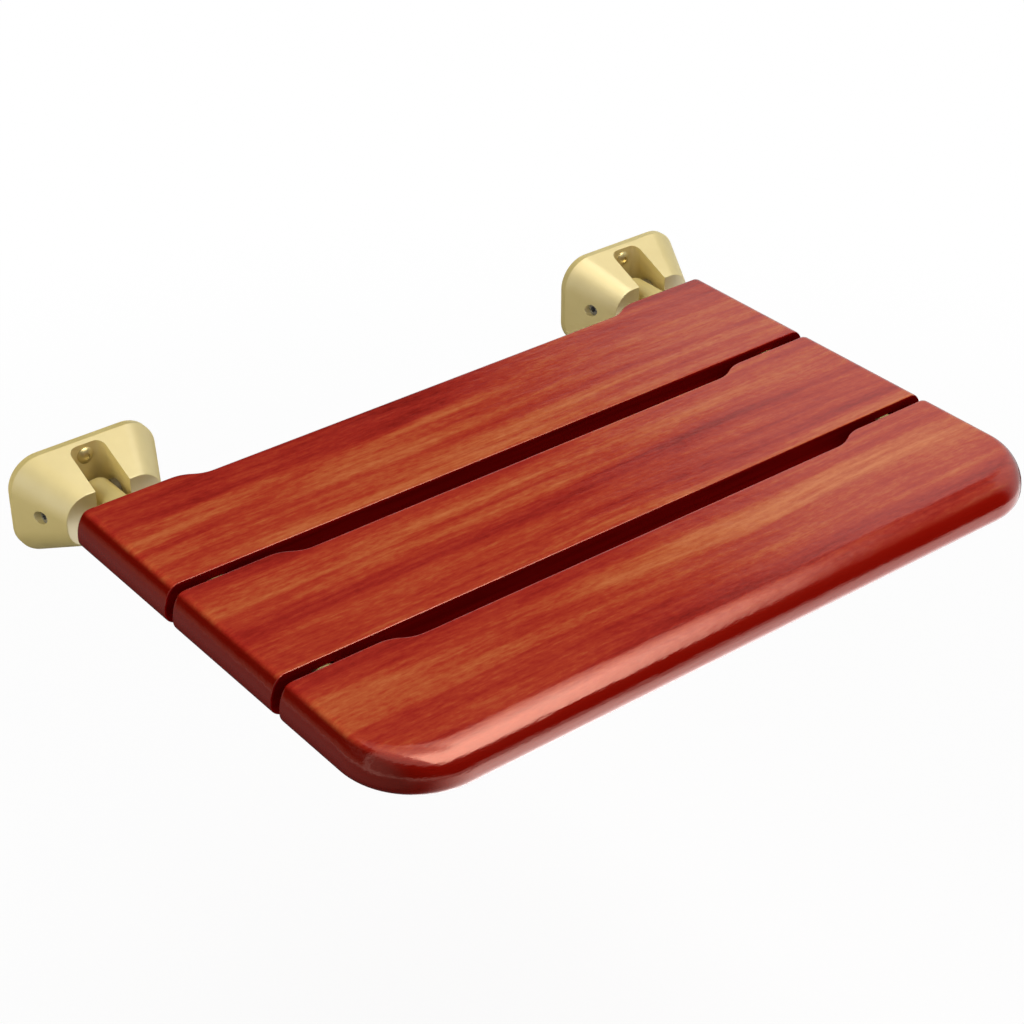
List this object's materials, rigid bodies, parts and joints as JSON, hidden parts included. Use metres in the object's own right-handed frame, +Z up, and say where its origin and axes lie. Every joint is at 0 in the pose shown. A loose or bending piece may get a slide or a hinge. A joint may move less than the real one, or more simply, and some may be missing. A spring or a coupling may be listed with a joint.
{
  "type": "folding shower seat",
  "caption": "Wall-hung folding shower seat: lacquered wood slats on arms that hinge up between the ears of satin gold wall brackets.",
  "frame": {"origin": "on the wall plane, midway between the two brackets at half their height", "axes": "+X along the wall to the user's right as they face it, +Y into the wall, +Z up; the seat reaches out along -Y"},
  "size_m": [0.5386, 0.382, 0.067],
  "materials": {
    "red_wood": "glossy red-brown lacquer",
    "gold_metal": "satin pale gold",
    "steel": "plain stainless",
    "dark_steel": "dark oiled steel",
    "bush_plastic": "self-lubricating tan plastic",
    "pad_rubber": "matte black"
  },
  "bodies": {
    "wall_brackets": {"bracket_left": "gold_metal", "bracket_right": "gold_metal", "wall_plate_left": "steel", "wall_plate_right": "steel", "bracket_screws_left": "gold_metal", "bracket_screws_right": "gold_metal", "pivot_pin_left": "steel", "pivot_pin_right": "steel", "pin_lock_screw_left": "dark_steel", "pin_lock_screw_right": "dark_steel"},
    "seat": {"rear_slat": "red_wood", "middle_slat": "red_wood", "front_slat": "red_wood", "rear_slat_screws": "steel", "middle_slat_screws": "steel", "front_slat_screws": "steel", "arm_left": "gold_metal", "arm_right": "gold_metal", "arm_bushes_left": "bush_plastic", "arm_bushes_right": "bush_plastic", "stop_pad_left": "pad_rubber", "stop_pad_right": "pad_rubber"}
  },
  "joints": [
    {"name": "seat_fold", "type": "hinge", "parent": "wall_brackets", "child": "seat", "pos_m": [0, -0.0225, 0.002], "axis": [-1, 0, 0], "range_deg": [0, 90]}
  ]
}
